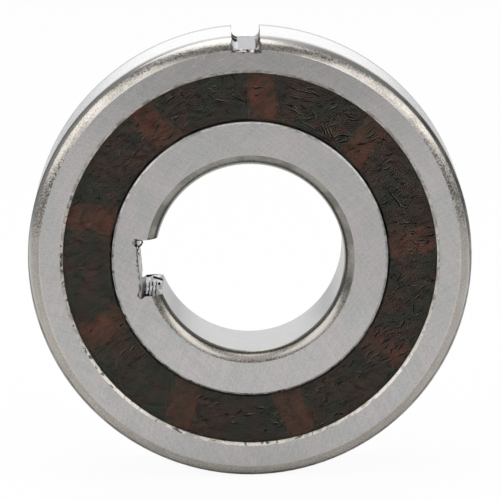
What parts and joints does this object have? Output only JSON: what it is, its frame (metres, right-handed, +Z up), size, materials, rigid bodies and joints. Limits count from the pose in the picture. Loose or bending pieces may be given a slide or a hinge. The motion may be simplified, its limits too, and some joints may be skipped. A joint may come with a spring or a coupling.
{
  "type": "sprag clutch",
  "caption": "One-way clutch bearing: keyed inner and outer rings with balls and tilting sprags in one cage; turns freely one way and locks the other.",
  "frame": {"origin": "centre of the bore at mid-width", "axes": "shaft axis along Y with the front face towards -Y; +Z up through the keyway in the outer ring, so that the clutch stands on its rim"},
  "size_m": [0.047, 0.014, 0.047],
  "materials": {
    "ring_steel": "ground",
    "ball_steel": "polished",
    "sprag_steel": "ground",
    "spring_steel": "drawn wire",
    "cage_polymer": "moulded",
    "washer_film": "glossy film"
  },
  "bodies": {
    "outer_ring": {"outer_ring": "ring_steel", "front_seal_washer": "washer_film", "rear_seal_washer": "washer_film"},
    "inner_ring": {"inner_ring": "ring_steel"},
    "cage": {"front_cage_half": "cage_polymer", "rear_cage_half": "cage_polymer", "front_garter_spring": "spring_steel", "rear_garter_spring": "spring_steel"},
    "ball_1": {"ball_1": "ball_steel"},
    "ball_2": {"ball_2": "ball_steel"},
    "ball_3": {"ball_3": "ball_steel"},
    "ball_4": {"ball_4": "ball_steel"},
    "ball_5": {"ball_5": "ball_steel"},
    "ball_6": {"ball_6": "ball_steel"},
    "ball_7": {"ball_7": "ball_steel"},
    "ball_8": {"ball_8": "ball_steel"},
    "ball_9": {"ball_9": "ball_steel"},
    "sprag_1": {"sprag_1": "sprag_steel"},
    "sprag_2": {"sprag_2": "sprag_steel"},
    "sprag_3": {"sprag_3": "sprag_steel"},
    "sprag_4": {"sprag_4": "sprag_steel"},
    "sprag_5": {"sprag_5": "sprag_steel"},
    "sprag_6": {"sprag_6": "sprag_steel"},
    "sprag_7": {"sprag_7": "sprag_steel"},
    "sprag_8": {"sprag_8": "sprag_steel"},
    "sprag_9": {"sprag_9": "sprag_steel"}
  },
  "joints": [
    {"name": "overrun", "type": "hinge", "parent": "outer_ring", "child": "inner_ring", "pos_m": [0, 0, 0], "axis": [0, 1, 0], "range_deg": [0, 3690]},
    {"name": "cage_turn", "type": "hinge", "parent": "outer_ring", "child": "cage", "pos_m": [0, 0, 0], "axis": [0, 1, 0], "continuous": true},
    {"name": "ball_1_spin", "type": "hinge", "parent": "cage", "child": "ball_1", "pos_m": [0.01575, 0, 0.00691], "axis": [0, 1, 0], "continuous": true},
    {"name": "ball_2_spin", "type": "hinge", "parent": "cage", "child": "ball_2", "pos_m": [0.00762, 0, 0.01542], "axis": [0, 1, 0], "continuous": true},
    {"name": "ball_3_spin", "type": "hinge", "parent": "cage", "child": "ball_3", "pos_m": [-0.00407, 0, 0.01671], "axis": [0, 1, 0], "continuous": true},
    {"name": "ball_4_spin", "type": "hinge", "parent": "cage", "child": "ball_4", "pos_m": [-0.01386, 0, 0.01018], "axis": [0, 1, 0], "continuous": true},
    {"name": "ball_5_spin", "type": "hinge", "parent": "cage", "child": "ball_5", "pos_m": [-0.01716, 0, -0.00111], "axis": [0, 1, 0], "continuous": true},
    {"name": "ball_6_spin", "type": "hinge", "parent": "cage", "child": "ball_6", "pos_m": [-0.01244, 0, -0.01188], "axis": [0, 1, 0], "continuous": true},
    {"name": "ball_7_spin", "type": "hinge", "parent": "cage", "child": "ball_7", "pos_m": [-0.00189, 0, -0.0171], "axis": [0, 1, 0], "continuous": true},
    {"name": "ball_8_spin", "type": "hinge", "parent": "cage", "child": "ball_8", "pos_m": [0.00954, 0, -0.01431], "axis": [0, 1, 0], "continuous": true},
    {"name": "ball_9_spin", "type": "hinge", "parent": "cage", "child": "ball_9", "pos_m": [0.01651, 0, -0.00483], "axis": [0, 1, 0], "continuous": true},
    {"name": "sprag_1_tilt", "type": "hinge", "parent": "cage", "child": "sprag_1", "pos_m": [0.01552, 0, 0.00141], "axis": [0, -1, 0], "range_deg": [0, 6], "stiffness_Nm_per_rad": 0.002, "springref_deg": -14.32},
    {"name": "sprag_2_tilt", "type": "hinge", "parent": "cage", "child": "sprag_2", "pos_m": [0.01098, 0, 0.01106], "axis": [0, -1, 0], "range_deg": [0, 6], "stiffness_Nm_per_rad": 0.002, "springref_deg": -14.32},
    {"name": "sprag_3_tilt", "type": "hinge", "parent": "cage", "child": "sprag_3", "pos_m": [0.0013, 0, 0.01553], "axis": [0, -1, 0], "range_deg": [0, 6], "stiffness_Nm_per_rad": 0.002, "springref_deg": -14.32},
    {"name": "sprag_4_tilt", "type": "hinge", "parent": "cage", "child": "sprag_4", "pos_m": [-0.00898, 0, 0.01274], "axis": [0, -1, 0], "range_deg": [0, 6], "stiffness_Nm_per_rad": 0.002, "springref_deg": -14.32},
    {"name": "sprag_5_tilt", "type": "hinge", "parent": "cage", "child": "sprag_5", "pos_m": [-0.01507, 0, 0.00398], "axis": [0, -1, 0], "range_deg": [0, 6], "stiffness_Nm_per_rad": 0.002, "springref_deg": -14.32},
    {"name": "sprag_6_tilt", "type": "hinge", "parent": "cage", "child": "sprag_6", "pos_m": [-0.0141, 0, -0.00664], "axis": [0, -1, 0], "range_deg": [0, 6], "stiffness_Nm_per_rad": 0.002, "springref_deg": -14.32},
    {"name": "sprag_7_tilt", "type": "hinge", "parent": "cage", "child": "sprag_7", "pos_m": [-0.00654, 0, -0.01415], "axis": [0, -1, 0], "range_deg": [0, 6], "stiffness_Nm_per_rad": 0.002, "springref_deg": -14.32},
    {"name": "sprag_8_tilt", "type": "hinge", "parent": "cage", "child": "sprag_8", "pos_m": [0.00409, 0, -0.01504], "axis": [0, -1, 0], "range_deg": [0, 6], "stiffness_Nm_per_rad": 0.002, "springref_deg": -14.32},
    {"name": "sprag_9_tilt", "type": "hinge", "parent": "cage", "child": "sprag_9", "pos_m": [0.0128, 0, -0.00889], "axis": [0, -1, 0], "range_deg": [0, 6], "stiffness_Nm_per_rad": 0.002, "springref_deg": -14.32}
  ],
  "couplings": [
    {"joint": "cage_turn", "follows": "overrun", "ratio": 0.4077},
    {"joint": "ball_1_spin", "follows": "overrun", "ratio": -2.6164},
    {"joint": "ball_2_spin", "follows": "overrun", "ratio": -2.6164},
    {"joint": "ball_3_spin", "follows": "overrun", "ratio": -2.6164},
    {"joint": "ball_4_spin", "follows": "overrun", "ratio": -2.6164},
    {"joint": "ball_5_spin", "follows": "overrun", "ratio": -2.6164},
    {"joint": "ball_6_spin", "follows": "overrun", "ratio": -2.6164},
    {"joint": "ball_7_spin", "follows": "overrun", "ratio": -2.6164},
    {"joint": "ball_8_spin", "follows": "overrun", "ratio": -2.6164},
    {"joint": "ball_9_spin", "follows": "overrun", "ratio": -2.6164}
  ]
}
